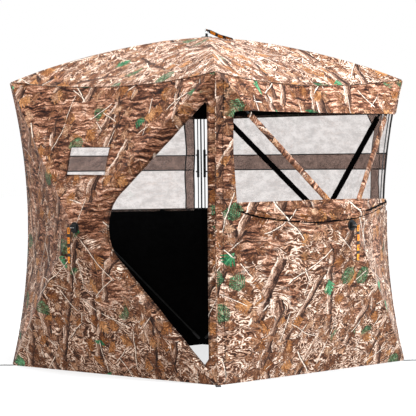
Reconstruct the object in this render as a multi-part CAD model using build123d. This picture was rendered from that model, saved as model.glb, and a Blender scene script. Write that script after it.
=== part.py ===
"""Pop up ground blind: a square hub-style hunting blind in millimetres.

Origin on the ground under the middle of the floor, +Z up.  Four bulged walls and a roof are
each held out by a hub with four poles.  Walls are drawn once, facing -Y, and turned into place.
"""
from build123d import *
import os
from math import atan2, cos, degrees, hypot, radians, sin

# ---- driving dimensions ----
HALF_SIDE = 715.0          # half the straight side at the hem and at the roof corners
EAVE_Z = 1458.0            # height of the roof corners
HUB_Z = EAVE_Z / 2         # wall hubs sit at mid height
HUB_OUT = 230.0            # wall hub out from the plane of its corners
ROOF_RISE = 225.0          # roof hub above the roof corners
WAIST = 62.0               # how far a vertical fold bows in, in x and in y
EAVE_DIP = 45.0            # how far an eave drops and bows in at its middle
PATCH = 0.04               # flat patch round a hub, as a share of the way to the edge
BOW = 9.0                  # outward bow of a wall gore at mid span
ROOF_BOW = 34.0            # outward bow of a roof gore at mid span
CLOTH = 2.0                # thickness of wall and roof fabric
NET = 1.2                  # thickness of the see-through mesh
STEPS = 8                  # facets along one edge of a gore

# turn of each wall about Z, in degrees, from the one facing -Y
WALLS = {"window": 0, "right_back": 90, "left_back": 180, "door": 270}

# openings and trims in wall coordinates: u to the right seen from outside, z up
DOOR_EDGE_GAP = 34.0       # strip left between the door and the corner fold
DOOR_TOP = (655.0, 1322.0)
DOOR_NOSE = (262.0, 915.0)
DOOR_NOSE_TIP = (172.0, 742.0)
DOOR_NOSE_LOW = (240.0, 562.0)
DOOR_BOTTOM = (650.0, 92.0)
PORT = ((-160.0, 1116.0), (106.0, 1112.0), (124.0, 982.0), (-142.0, 984.0))
WINDOW_LEFT = 586.0
WINDOW_SILL = 856.0
WINDOW_TOP = 1278.0
BAND_LOW = 782.0
BAND_TOP = 1284.0
BAND_END = 610.0           # where a back window stops short of the left corner
MESH_FREE = 611.0          # free edge of the mesh beside the far corner: its foot, from the wall's middle
MESH_FREE_LEAN = 41.0      # the free edge's top is this much farther out
MESH_GAP = 13.0            # mesh stops this far from the fold of the right corner
STRIPE_W = 46.0            # doubled strip along the mesh's free edge
MESH_LAP = 14.0            # mesh runs this far behind the cloth
STRIPE_LOW = 996.0         # doubled mesh band across the back windows
STRIPE_TOP = 1078.0
COVER_T = 5.0              # dropped window cover, folded double
COVER_OUT = 12.0           # how far it stands off the wall

# hub hardware, measured out from the cloth patch along the hub axis
PLATE_R = 27.0
PLATE_T = 3.0
BOSS_SIDE = 30.0
ROOF_BOSS_SIDE = 12.0      # the roof's eye stands on a slim post
BOSS_TOP = 18.0
GAP = 0.3                  # between pieces that lie on each other
HUB_R = 24.0
HUB_BACK = 26.0
PIN_REACH = 34.0           # hub axis to pivot pin
PIN_DEPTH = 16.0           # pivot pin below the cloth
PIN_R = 2.5
PIN_CLEAR = 0.05
EAR_T = 5.0
TONGUE_T = 9.0
EAR_GAP = 10.0
EYE_R = 2.5                # wire of the pull eye
EYE_HALF = 13.0
EYE_TOP = 38.0
BOLT_R = 3.0

# poles
ROD_R = 5.5
FERRULE_R = 7.0
FERRULE_LEN = 62.0
TIP_R = 6.5
TIP_LEN = 26.0
TIP_REACH_IN = 66.0        # pole tip to corner, along the diagonal
TIP_DEPTH = 13.0           # pole tip inside the wall's edge plane
POCKET_R = 9.0
POCKET_WALL = 1.5
POCKET_LEN = 60.0
SLEEVE_W = 36.0
SLEEVE_T = 14.0
SLEEVE_BORE = 5.9
SLEEVE_START = 84.0        # along the pole from its pin
SLEEVE_END = 740.0

# webbing across the open window corners
WEB_W = 8.5
WEB_T = 1.6
WEB_SPREAD = 26.0          # side webbing to the one at the fold
CLEAT_LEN = 156.0

# pull straps
STRAP_W = 20.0
STRAP_T = 3.0
STRAP_LEN = 175.0
STRAP_BORE = 2.9
ROOF_STRAP_TURN = -70.0    # the roof strap lies towards the front right, clear of the roof poles

# ground fixings
TAB_W = 26.0
TAB_LEN = 72.0
TAB_T = 2.0
TAB_HOLE = 48.0            # corner to grommet along the diagonal
GROMMET_R = 6.0
GROMMET_RIM = 11.0
GROMMET_T = 3.2

CORNERS = ((-1, -1), (1, -1), (1, 1), (-1, 1))
SIDES = ("left", "right", "top", "bottom")
WALL_CORNERS = ("lower_left", "lower_right", "upper_right", "upper_left")
ROOF_CORNERS = ("near", "right", "far", "left")
SLEEVED = ("window", "right_back", "left_back")


def mid_weight(share):
    """0 at both ends of an edge, 1 in its middle."""
    return 4 * share * (1 - share)


def wall_edge(side, share):
    """Point (u, z, n) of a wall's outline; share runs up or to the right."""
    bend = mid_weight(share)
    if side == "bottom":
        return (HALF_SIDE * (2 * share - 1), 0.0, 0.0)
    if side == "top":
        return (HALF_SIDE * (2 * share - 1), EAVE_Z - EAVE_DIP * bend, -EAVE_DIP * bend)
    sign = 1 if side == "right" else -1
    return (sign * (HALF_SIDE - WAIST * bend), EAVE_Z * share, -WAIST * bend)


def roof_edge(side, share):
    """Point (u, v, n) of the roof's outline; n is up from the roof corners."""
    bend = EAVE_DIP * mid_weight(share)
    along = HALF_SIDE * (2 * share - 1)
    out = HALF_SIDE - bend
    return {
        "bottom": (along, -out, -bend),
        "top": (along, out, -bend),
        "right": (out, along, -bend),
        "left": (-out, along, -bend),
    }[side]


def mitre(side, share, roof):
    """Unit step from an outer edge point to the inner one, so that neighbours meet edge to edge."""
    step_u, step_v = 0.0, 0.0
    if side in ("left", "right"):
        step_u = -1.0 if side == "right" else 1.0
    elif roof or side == "top":
        step_v = -1.0 if side == "top" else 1.0
    if share in (0.0, 1.0):
        if side in ("left", "right"):
            if roof or share == 1.0:
                step_v = -1.0 if share == 1.0 else 1.0
        else:
            step_u = -1.0 if share == 1.0 else 1.0
    return (step_u, step_v, -1.0)


def triangle_faces(grid):
    """Two triangles for each cell of a grid of points."""
    faces = []
    for low, high in zip(grid[:-1], grid[1:]):
        for i in range(len(low) - 1):
            faces.append((low[i], low[i + 1], high[i + 1]))
            faces.append((low[i], high[i + 1], high[i]))
    return faces


def gore(side, edge, hub, bulge, bow, thickness, depth=0.0, roof=False):
    """One closed triangular panel from the hub patch to an outline edge, in (u, z, n)."""
    rings = (PATCH, 0.5, 1.0)
    shares = [i / STEPS for i in range(STEPS + 1)]
    outer, inner = [], []
    for ring in rings:
        row_out, row_in = [], []
        for share in shares:
            rim = edge(side, share)
            rise = bulge * (1 - ring) / (1 - PATCH) + bow * mid_weight(ring) * (ring > PATCH)
            point = [hub[k] + ring * (rim[k] - hub[k]) for k in (0, 1)]
            point.append(rim[2] * (ring if ring > PATCH else 0) + rise)
            step = mitre(side, share, roof) if ring == 1.0 else (0.0, 0.0, -1.0)
            row_out.append(tuple(p + depth * s for p, s in zip(point, step)))
            row_in.append(tuple(p + (depth + thickness) * s for p, s in zip(point, step)))
        outer.append(row_out)
        inner.append(row_in)
    apex_out = (hub[0], hub[1], bulge - depth)
    apex_in = (hub[0], hub[1], bulge - depth - thickness)
    polygons = [[apex_out] + outer[0], [apex_in] + inner[0]]
    polygons += triangle_faces(outer)
    polygons += triangle_faces(inner)
    polygons += triangle_faces([outer[-1], inner[-1]])
    for end in (0, -1):
        rail_out = [apex_out] + [row[end] for row in outer]
        rail_in = [apex_in] + [row[end] for row in inner]
        polygons += triangle_faces([rail_out, rail_in])
    faces = [Face(Wire.make_polygon([Vector(*p) for p in polygon])) for polygon in polygons]
    solid = Solid(Shell(faces))
    return solid if solid.volume > 0 else Solid(solid.wrapped.Reversed())


def wall_gores(thickness, depth=0.0):
    """The four panels of a wall, in (u, z, n)."""
    hub = (0.0, HUB_Z)
    return [gore(side, wall_edge, hub, HUB_OUT, BOW, thickness, depth) for side in SIDES]


def roof_gores(thickness):
    """The four panels of the roof, in (x, y, n)."""
    centre = (0.0, 0.0)
    return [gore(side, roof_edge, centre, ROOF_RISE, ROOF_BOW, thickness, roof=True) for side in SIDES]


def prism(*outline):
    """Cutter through a wall: an outline in (u, z) run along n."""
    face = Face(Wire.make_polygon([Vector(u, z, -400) for u, z in outline]))
    return Solid.extrude(face, Vector(0, 0, 900))


def box_prism(u_low, z_low, u_high, z_high):
    return prism((u_low, z_low), (u_high, z_low), (u_high, z_high), (u_low, z_high))


def upright_prism(left, right, z_low, z_high):
    """Cutter between two upright edges, each given as u for a height."""
    heights = [z_low, (z_low + z_high) / 2, z_high]
    return prism(*[(right(z), z) for z in heights], *[(left(z), z) for z in reversed(heights)])


def fold_u(z):
    """Distance of a wall's side fold from its middle at height z."""
    return HALF_SIDE - WAIST * mid_weight(z / EAVE_Z)


def free_edge(z):
    """Distance of a back window's free edge from the wall's middle at height z."""
    share = (z - BAND_LOW) / (BAND_TOP - BAND_LOW)
    return MESH_FREE + MESH_FREE_LEAN * (0.27 * share + 0.73 * share**2)


def solids_of(shapes):
    """Every separate solid in a list of shapes."""
    found = []
    for shape in shapes:
        if shape is not None:
            found += list(shape.solids())
    return [solid for solid in found if solid.volume > 1.0]


def cut_each(pieces, *cutters):
    """Take the cutters out of each piece."""
    result = []
    for piece in pieces:
        for cutter in cutters:
            if piece is not None:
                piece = piece - cutter
        result.append(piece)
    return solids_of(result)


def keep_each(pieces, cutter):
    """The part of each piece that lies inside the cutter."""
    return solids_of([piece & cutter for piece in pieces])


def stand(shapes, turn):
    """Turn wall coordinates (u, z, n) into the blind's frame and face the wall its own way."""
    placed = []
    for shape in shapes:
        upright = shape.rotate(Axis.X, 90)
        placed.append(upright.moved(Location((0, -HALF_SIDE, 0))).rotate(Axis.Z, turn))
    return placed


def lift_roof(shapes):
    return [shape.moved(Location((0, 0, EAVE_Z))) for shape in shapes]


def save(name, shapes):
    """Write one named sub-part."""
    solids = solids_of(shapes)
    part = solids[0] if len(solids) == 1 else Compound(children=solids)
    part.label = name
    export_step(part, f"parts/{name}.step")


# ---- fabric ----
def hub_hole():
    """Round hole in the cloth where a hub's bolt goes through."""
    return Solid.make_cylinder(BOLT_R + 2.0, 900, Plane((0, HUB_Z, -400)))


def door_prism():
    """Half-diamond doorway with a rounded nose, beside the near corner fold."""
    heights = [1230.0, 1100.0, 950.0, 800.0, 650.0, 500.0, 350.0, 200.0]
    right_side = [(fold_u(z) - DOOR_EDGE_GAP, z) for z in heights]
    nose = ThreePointArc(DOOR_NOSE, DOOR_NOSE_TIP, DOOR_NOSE_LOW)
    nose_points = [nose @ (k / 6) for k in range(7)]
    outline = [DOOR_TOP] + right_side + [DOOR_BOTTOM]
    outline += [(p.X, p.Y) for p in reversed(nose_points)]
    return prism(*outline)


def make_fabric():
    """Walls, roof, mesh windows and the dropped window cover."""
    past = HALF_SIDE + 60
    gores = wall_gores(CLOTH)
    window = prism((-WINDOW_LEFT - 24, WINDOW_TOP - 8), (-WINDOW_LEFT, WINDOW_TOP), (past, WINDOW_TOP),
                   (past, WINDOW_SILL - 16), (0, WINDOW_SILL), (-WINDOW_LEFT + 26, WINDOW_SILL - 8))
    openings = {
        "window": [window],
        "door": [door_prism(), prism(*PORT)],
        "right_back": [box_prism(-past, BAND_LOW, past, BAND_TOP)],
        "left_back": [box_prism(-past, BAND_LOW, BAND_END, BAND_TOP)],
    }
    for name, turn in WALLS.items():
        cloth = cut_each(gores, hub_hole(), *openings[name])
        save(f"{name}_wall", stand(cloth, turn))
    roof_hole = Solid.make_cylinder(BOLT_R + 2.0, 900, Plane((0, 0, -400)))
    save("roof_panel", lift_roof(cut_each(roof_gores(CLOTH), roof_hole)))

    ends = {
        "right_back": (lambda z: MESH_GAP - fold_u(z), free_edge),
        "left_back": (lambda z: -free_edge(z), lambda z: BAND_END + MESH_LAP),
    }
    stripes = {
        "right_back": (lambda z: -595.0 + 0.12 * (z - BAND_LOW), lambda z: -500.0 + 0.09 * (z - BAND_LOW)),
        "left_back": (lambda z: -free_edge(z), lambda z: STRIPE_W - free_edge(z)),
    }
    single = wall_gores(NET, CLOTH + GAP)
    double = wall_gores(NET, CLOTH + NET + 2 * GAP)
    for name, (left, right) in ends.items():
        net = keep_each(single, upright_prism(left, right, BAND_LOW - MESH_LAP, BAND_TOP + MESH_LAP))
        across = keep_each(double, upright_prism(left, right, STRIPE_LOW, STRIPE_TOP))
        above = keep_each(double, upright_prism(*stripes[name], STRIPE_TOP, BAND_TOP))
        below = keep_each(double, upright_prism(*stripes[name], BAND_LOW, STRIPE_LOW))
        save(f"{name}_mesh", stand(net + across + above + below, WALLS[name]))

    cover = wall_gores(COVER_T, -COVER_OUT)
    low_edge = [(-556, 804), (-432, 768), (-217, 744), (-60, 762), (60, 768), (217, 776), (432, 788), (618, 806)]
    high_edge = [(612, WINDOW_SILL - 14), (0, WINDOW_SILL + 2), (-556, WINDOW_SILL - 8)]
    save("window_cover", stand(keep_each(cover, prism(*low_edge, *high_edge)), 0))


def make_door_roll():
    """The door panel, rolled up and tied inside the near corner."""
    heights = [150.0, 430.0, 729.0, 1010.0, 1270.0]
    radius = 30.0
    path = [Vector(-(fold_u(z) - 62), -(fold_u(z) - 62), z) for z in heights]
    roll = None
    for low, high in zip(path[:-1], path[1:]):
        run = Solid.make_cylinder(radius, (high - low).length, Plane(low, z_dir=high - low))
        roll = run if roll is None else roll + run
        if high is not path[-1]:
            roll = roll + Solid.make_sphere(radius, Plane(high))
    save("door_flap_roll", [roll])


def make_corner_webbing():
    """Elastic webbing across the open window corners, with cleats on the far corner."""
    low, high = BAND_LOW - 8, BAND_TOP + 8
    heights = [low, (low + high) / 2, high]
    strips, cleats = [], []
    for sy, offsets in ((1, (-WEB_SPREAD, 0, WEB_SPREAD)), (-1, (0, WEB_SPREAD))):
        for offset in offsets:
            points = []
            for z in heights:
                x = fold_u(z) - 9 - max(offset, 0)
                y = fold_u(z) - 9 - max(-offset, 0)
                points.append(Vector(x, sy * y, z))
            turn = -45 * sy if offset == 0 else (0 if offset > 0 else 90)
            section = Rectangle(WEB_W, WEB_T).face().rotate(Axis.Z, turn)
            lower = Solid.extrude(section.moved(Location(points[0])), points[1] - points[0])
            upper = Solid.extrude(section.moved(Location(points[1])), points[2] - points[1])
            strips.append(lower + upper)
            if sy > 0 and offset != 0:
                cleats.append(make_cleat(points, offset) - strips[-1])
    save("corner_webbing", strips)
    save("webbing_cleats", cleats)


def make_cleat(points, offset):
    """Flat plastic cleat that clips a window edge to the webbing."""
    reach = 0.5 * CLEAT_LEN / (points[2].Z - points[1].Z)
    lower = points[1] + (points[0] - points[1]) * reach
    upper = points[1] + (points[2] - points[1]) * reach
    shape = Box(14, 6, CLEAT_LEN)
    for height in (-0.3 * CLEAT_LEN, 0.3 * CLEAT_LEN):
        shape = shape + Pos(11, 0, height) * Box(12, 4, 7)
    inward = (-1, 0, 0) if offset > 0 else (0, -1, 0)
    return shape.moved(Plane((lower + upper) / 2, x_dir=inward, z_dir=upper - lower).location)


# ---- hubs, eyes and straps, drawn with the hub axis along +Z and the cloth patch at z = 0 ----
def arm_angles(across, up):
    """Directions of the four poles seen along the hub axis, starting lower left."""
    base = degrees(atan2(up, across))
    return (180 + base, -base, base, 180 - base)


def hub_parts(angles, eye_turn, boss_side):
    """Inner hub with four forks, outer plate, and the steel pins, bolt and pull eye."""
    body = Solid.make_cylinder(HUB_R, HUB_BACK - CLOTH - GAP, Plane((0, 0, -HUB_BACK)))
    ear_reach = PIN_REACH + 8.0
    pins = []
    for angle in angles:
        fork = None
        for side in (-1, 1):
            centre = side * (EAR_GAP + EAR_T) / 2
            ear = Pos((ear_reach + 14) / 2, centre, -PIN_DEPTH) * Box(ear_reach - 14, EAR_T, 16)
            fork = ear if fork is None else fork + ear
        bore = Plane((PIN_REACH, -12, -PIN_DEPTH), z_dir=(0, 1, 0))
        fork = fork - Solid.make_cylinder(PIN_R, 24, bore)
        relief = Pos(PIN_REACH + 1, 0, -PIN_DEPTH) * Box(20, EAR_GAP, 30)
        body = body + fork.rotate(Axis.Z, angle) - relief.rotate(Axis.Z, angle)
        half = EAR_GAP / 2 + EAR_T
        pin = Solid.make_cylinder(PIN_R, 2 * half, Plane((PIN_REACH, -half, -PIN_DEPTH), z_dir=(0, 1, 0)))
        head = Solid.make_cylinder(PIN_R + 1.5, 1.6, Plane((PIN_REACH, half, -PIN_DEPTH), z_dir=(0, 1, 0)))
        pins.append((pin + head).rotate(Axis.Z, angle))
    bolt_bore = Solid.make_cylinder(BOLT_R, 200, Plane((0, 0, -100)))
    body = body - bolt_bore

    plate = Solid.make_cylinder(PLATE_R, PLATE_T, Plane((0, 0, GAP)))
    boss_height = BOSS_TOP - GAP
    boss = Pos(0, 0, GAP + boss_height / 2) * Box(boss_side, boss_side, boss_height)
    boss = fillet(boss.edges().filter_by(Axis.Z), 4.0)
    boss = chamfer(boss.faces().sort_by(Axis.Z)[-1].edges(), 2.0)
    plate = (plate + boss) - bolt_bore

    base_z = BOSS_TOP + EYE_R
    wire = Solid.make_cylinder(BOLT_R, base_z + HUB_BACK + 10, Plane((0, 0, -HUB_BACK - 10)))
    for side in (-1, 1):
        leg = Solid.make_cylinder(EYE_R, EYE_TOP - base_z, Plane((side * EYE_HALF, 0, base_z)))
        wire = wire + leg
        for height in (base_z, EYE_TOP):
            wire = wire + Solid.make_sphere(EYE_R, Plane((side * EYE_HALF, 0, height)))
    for height in (base_z, EYE_TOP):
        bar = Plane((-EYE_HALF, 0, height), z_dir=(1, 0, 0))
        wire = wire + Solid.make_cylinder(EYE_R, 2 * EYE_HALF, bar)
    nut = extrude(RegularPolygon(7.0, 6), 6.0).moved(Location((0, 0, -HUB_BACK - 6.0)))
    nut = nut - bolt_bore
    steel = [wire.rotate(Axis.Z, eye_turn), nut] + pins
    return [body], [plate], steel


def strap_shape(runs):
    """Pull strap along +X, looped round the eye's top bar; runs lists (length, angle below level)."""
    loop = Circle(STRAP_BORE + STRAP_T).face()
    x, y = 0.0, 0.0
    outline = loop
    for length, angle in runs:
        run = Rectangle(length, STRAP_T, align=(Align.MIN, Align.CENTER)).face()
        run = run.rotate(Axis.Z, -angle).moved(Location((x, y, 0)))
        outline = outline + run
        x += length * cos(radians(angle))
        y -= length * sin(radians(angle))
        outline = outline + Circle(STRAP_T / 2).face().moved(Location((x, y, 0)))
    outline = outline - Circle(STRAP_BORE).face()
    strap = extrude(outline, STRAP_W / 2, both=True)
    return strap.rotate(Axis.X, 90)


def pole_shape(run, drop):
    """Pole along +X from its pin, the pocket for its tip, and the slope that drops it by drop over run."""
    length = hypot(run, drop)
    slope = degrees(atan2(drop, run))
    eye = Solid.make_cylinder(6.0, TONGUE_T, Plane((0, -TONGUE_T / 2, 0), z_dir=(0, 1, 0)))
    shank = Pos(6.5, 0, 0) * Box(13, TONGUE_T, 12)
    socket = Solid.make_cylinder(FERRULE_R, FERRULE_LEN - 13, Plane((13, 0, 0), z_dir=(1, 0, 0)))
    rod_seat = Solid.make_cylinder(ROD_R, FERRULE_LEN, Plane((20, 0, 0), z_dir=(1, 0, 0)))
    pin_bore = Plane((0, -TONGUE_T, 0), z_dir=(0, 1, 0))
    fitting = eye + shank + socket - rod_seat
    fitting = fitting - Solid.make_cylinder(PIN_R + PIN_CLEAR, 2 * TONGUE_T, pin_bore)
    rod = Solid.make_cylinder(ROD_R, length - 4 - 20, Plane((20, 0, 0), z_dir=(1, 0, 0)))
    cap = Solid.make_cylinder(TIP_R, TIP_LEN, Plane((length - TIP_LEN, 0, 0), z_dir=(1, 0, 0)))
    cap = cap - Solid.make_cylinder(ROD_R, TIP_LEN - 4, Plane((length - TIP_LEN, 0, 0), z_dir=(1, 0, 0)))
    cap = fillet(cap.faces().sort_by(Axis.X)[-1].edges(), 2.5)
    pocket_from = length - POCKET_LEN + 12
    pocket = Solid.make_cylinder(POCKET_R, POCKET_LEN, Plane((pocket_from, 0, 0), z_dir=(1, 0, 0)))
    hollow = Solid.make_cylinder(POCKET_R - POCKET_WALL, POCKET_LEN - POCKET_WALL,
                                 Plane((pocket_from, 0, 0), z_dir=(1, 0, 0)))
    return [fitting, rod, cap], [pocket - hollow], slope


def sleeve_shape():
    """Flat cloth sleeve round a pole where it crosses an open window."""
    section = SlotOverall(SLEEVE_W, SLEEVE_T, rotation=90).face() - Circle(SLEEVE_BORE).face()
    sleeve = extrude(section, SLEEVE_END - SLEEVE_START)
    return sleeve.rotate(Axis.Y, 90).moved(Location((SLEEVE_START, 0, 0)))


def at_pin(shapes, slope, angle):
    """Tip a pole down by its slope, set it on its pin and swing it to its corner."""
    placed = []
    for shape in shapes:
        tipped = shape.rotate(Axis.Y, slope).moved(Location((PIN_REACH, 0, -PIN_DEPTH)))
        placed.append(tipped.rotate(Axis.Z, angle))
    return placed


def raise_hub(shapes, height, up):
    """Move hub coordinates into wall coordinates: along u and z, and out to the cloth patch."""
    return [shape.moved(Location((0, up, height))) for shape in shapes]


def make_hub_set(name, up, bulge, place, corner_names, strap_runs, strap_turn):
    """One hub with its four poles, hardware and strap; its corners are HALF_SIDE across and up along."""
    angles = arm_angles(HALF_SIDE, up)
    boss_side = ROOF_BOSS_SIDE if name == "roof" else BOSS_SIDE
    body, plate, steel = hub_parts(angles, strap_turn + 90, boss_side)
    save(f"{name}_hub_body", place(body))
    save(f"{name}_hub_plate", place(plate))
    save(f"{name}_hub_hardware", place(steel))
    strap = strap_shape(strap_runs).rotate(Axis.Z, strap_turn)
    save(f"{name}_pull_strap", place([strap.moved(Location((0, 0, EYE_TOP)))]))
    run = hypot(HALF_SIDE, up) - TIP_REACH_IN - PIN_REACH
    drop = bulge - PIN_DEPTH + TIP_DEPTH
    pockets = []
    for angle, corner in zip(angles, corner_names):
        pole, pocket, slope = pole_shape(run, drop)
        save(f"{name}_pole_{corner}", place(at_pin(pole, slope, angle)))
        pockets += place(at_pin(pocket, slope, angle))
        if name in SLEEVED and corner.startswith("upper"):
            sleeve = at_pin([sleeve_shape()], slope, angle)
            save(f"{name}_sleeve_{corner}", place(sleeve))
    return pockets


def make_hubs():
    """Five hub sets and the cloth pockets that hold the pole tips."""
    pockets = []
    for name, turn in WALLS.items():
        def place(shapes, turn=turn):
            return stand(raise_hub(shapes, HUB_OUT, HUB_Z), turn)
        pockets += make_hub_set(name, HUB_Z, HUB_OUT, place, WALL_CORNERS, [(STRAP_LEN, 0.0)], -90)

    def place_roof(shapes):
        return lift_roof(raise_hub(shapes, ROOF_RISE, 0))
    lying = [(80.0, 24.0), (75.0, 11.0)]
    pockets += make_hub_set("roof", HALF_SIDE, ROOF_RISE, place_roof, ROOF_CORNERS, lying, ROOF_STRAP_TURN)
    save("pole_pockets", pockets)


def make_ground_tabs():
    """Webbing tab and steel grommet for a stake at each bottom corner."""
    tabs, rings = [], []
    corner = hypot(HALF_SIDE, HALF_SIDE)
    for sx, sy in CORNERS:
        angle = degrees(atan2(sy, sx))
        start = corner + 0.5
        tab = Pos(start + TAB_LEN / 2, 0, TAB_T / 2) * Box(TAB_LEN, TAB_W, TAB_T)
        seat = Solid.make_cylinder(GROMMET_R + 2, 10, Plane((corner + TAB_HOLE, 0, -1)))
        tabs.append((tab - seat).rotate(Axis.Z, angle))
        barrel = Solid.make_cylinder(GROMMET_R + 2, GROMMET_T)
        rim = Solid.make_cylinder(GROMMET_RIM, GROMMET_T - TAB_T, Plane((0, 0, TAB_T)))
        ring = (barrel + rim - Solid.make_cylinder(GROMMET_R, 10, Plane((0, 0, -1))))
        rings.append(ring.moved(Location((corner + TAB_HOLE, 0, 0))).rotate(Axis.Z, angle))
    save("stake_tabs", tabs)
    save("stake_grommets", rings)


def main():
    os.makedirs("parts", exist_ok=True)
    make_fabric()
    make_door_roll()
    make_corner_webbing()
    make_hubs()
    make_ground_tabs()


main()
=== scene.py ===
from math import atan2, cos, hypot, pi, radians, sin

import bpy
import numpy as np
from mathutils import Matrix, Vector
from mathutils.geometry import delaunay_2d_cdt


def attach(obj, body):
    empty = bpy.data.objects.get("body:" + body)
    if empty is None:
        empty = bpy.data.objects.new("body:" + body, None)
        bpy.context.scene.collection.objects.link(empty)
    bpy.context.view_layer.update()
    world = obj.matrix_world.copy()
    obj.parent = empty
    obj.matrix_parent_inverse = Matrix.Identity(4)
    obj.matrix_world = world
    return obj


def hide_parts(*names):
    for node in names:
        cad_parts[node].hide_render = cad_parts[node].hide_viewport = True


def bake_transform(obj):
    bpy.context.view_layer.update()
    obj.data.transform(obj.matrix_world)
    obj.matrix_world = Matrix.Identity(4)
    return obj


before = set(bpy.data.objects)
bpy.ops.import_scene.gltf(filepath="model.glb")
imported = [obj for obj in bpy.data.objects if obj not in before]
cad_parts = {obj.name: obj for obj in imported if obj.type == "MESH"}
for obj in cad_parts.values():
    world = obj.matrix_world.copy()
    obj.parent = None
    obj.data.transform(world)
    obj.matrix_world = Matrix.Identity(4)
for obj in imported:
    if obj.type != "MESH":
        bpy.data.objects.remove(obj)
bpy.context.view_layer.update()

# ---- driving dimensions, in metres ----
HALF = 0.715            # half the straight side at the hem and at the roof corners
EAVE = 1.458            # height of the roof corners
HUB_Z = EAVE / 2        # wall hubs sit at mid height
HUB_OUT = 0.230         # wall hub out from the plane of its corners
ROOF_RISE = 0.225       # roof hub above the roof corners
WAIST = 0.062           # how far a vertical fold bows in
EAVE_DIP = 0.045        # how far an eave drops and bows in at its middle
PATCH = 0.04            # flat patch round a hub, as a share of the way to the edge
BOW = 0.009             # outward bow of a wall gore
ROOF_BOW = 0.034        # outward bow of a roof gore
HEM = 0.026             # height of the folded hem
CLOTH = 0.0016          # thickness of wall and roof fabric
NET = 0.0008            # thickness of the see-through mesh
TURNS = {"window": 0, "right_back": 90, "left_back": 180, "door": 270}

DOOR_EDGE_GAP = 0.034   # strip left between the door and the corner fold
DOOR_TOP = (0.655, 1.322)
DOOR_NOSE = ((0.262, 0.915), (0.172, 0.742), (0.240, 0.562))
DOOR_BOTTOM = (0.650, 0.092)
PORT = ((-0.160, 1.116), (0.106, 1.112), (0.124, 0.982), (-0.142, 0.984))
WINDOW = ((-0.610, 1.270), (-0.586, 1.278), (0.800, 1.278), (0.800, 0.840), (0.0, 0.856), (-0.560, 0.848))
BAND_LOW = 0.782
BAND_TOP = 1.284
BAND_END = 0.610        # where a back window stops short of the left corner
MESH_LAP = 0.014        # mesh runs this far behind the cloth
MESH_FREE = 0.611       # free edge of the mesh beside the far corner: its foot, from the wall's middle
MESH_FREE_LEAN = 0.041  # the free edge's top is this much farther out
MESH_GAP = 0.013        # mesh stops this far from the fold of the right corner
STRIPE_W = 0.046        # doubled strip along the mesh's free edge
STRIPE_LOW = 0.996      # doubled mesh band across the back windows
STRIPE_TOP = 1.078
COVER_LOW = ((-0.556, 0.804), (-0.432, 0.768), (-0.217, 0.744), (-0.06, 0.752),
             (0.06, 0.762), (0.217, 0.772), (0.432, 0.788), (0.618, 0.806))
COVER_HIGH = ((-0.556, 0.848), (0.0, 0.856), (0.612, 0.842))

PIN_REACH = 0.034       # hub axis to pole pin
PIN_DEPTH = 0.016       # pole pin below the cloth
TIP_REACH_IN = 0.066    # pole tip to corner, along the diagonal
TIP_DEPTH = 0.013       # pole tip inside the wall's edge plane
EYE_TOP = 0.038         # top bar of a pull eye above the cloth patch
WEB_SPREAD = 0.026      # side webbing to the one at the fold
SLEEVE_W, SLEEVE_T = 0.035, 0.0144
SLEEVE_START, SLEEVE_END = 0.086, 0.738      # along the pole from its pin
POCKET_BACK, POCKET_PAST = 0.048, 0.0115     # a tip's pocket, before and past the tip
MESH_BEHIND, BAND_BEHIND, SEAM_BEHIND = 0.0026, 0.0038, 0.0050      # layers of the mesh behind the cloth
PIPE_W, EAVE_PIPE_W = 0.0056, 0.0052         # thickness of the piping on a fold and on an eave
TAB_REACH = 0.0715      # stake tab past its corner
ROLL_IN = 0.062         # middle of the rolled door, in from both walls at the near fold
ROLL_LOW, ROLL_HIGH = 0.155, 1.265
TIE_R = 0.0282          # radius of the ties round the rolled door

FOLLOW_FROM = {"wall": 0.9133, "roof": 0.937}
FOLLOW_ALL = 0.0336
STRIP_WEIGHTS = (0.0, 0.05, 0.2, 0.8, 0.95, 1.0)
PITCH = 0.018           # spacing of cloth vertices
SEAM_W = 0.006          # black seams on the mesh
LEAST_SIDE = 0.0105     # least side of a flat cut of cloth
TAPE_W = 0.0101         # width given in a tape's flat size

rng = np.random.default_rng(11)


# ---- shapes of the walls and the roof ----
def unit(vectors):
    """Each vector at length 1."""
    return vectors / np.maximum(np.linalg.norm(vectors, axis=1, keepdims=True), 1e-12)


def run_lengths(line):
    """Distance along a line at each of its points."""
    return np.concatenate([[0], np.cumsum(np.linalg.norm(np.diff(line, axis=0), axis=1))])


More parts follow.
